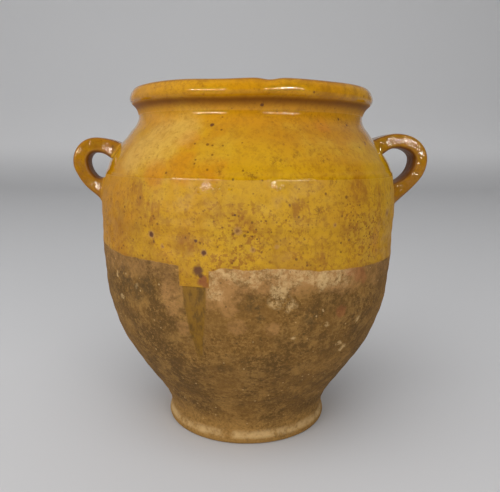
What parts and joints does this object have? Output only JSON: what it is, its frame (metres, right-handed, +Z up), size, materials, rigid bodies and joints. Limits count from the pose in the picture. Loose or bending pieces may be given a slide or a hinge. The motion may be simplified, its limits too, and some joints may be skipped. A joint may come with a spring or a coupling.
{
  "type": "confit pot",
  "caption": "Round-bellied earthenware jar for preserving food, with a rolled rim and small ear handles, honey glaze above bare clay.",
  "frame": {"origin": "centre of the flat bottom that the pot stands on", "axes": "+Z up along the pot's turning axis, +X towards the larger ear, the ears on X and the front of the picture on -Y"},
  "size_m": [0.3221, 0.2601, 0.3],
  "materials": {
    "glazed_earthenware": "gloss honey-yellow glaze inside and over the upper half, bare brown clay on the lower half"
  },
  "bodies": {
    "root": {"pot": "glazed_earthenware"}
  },
  "joints": []
}
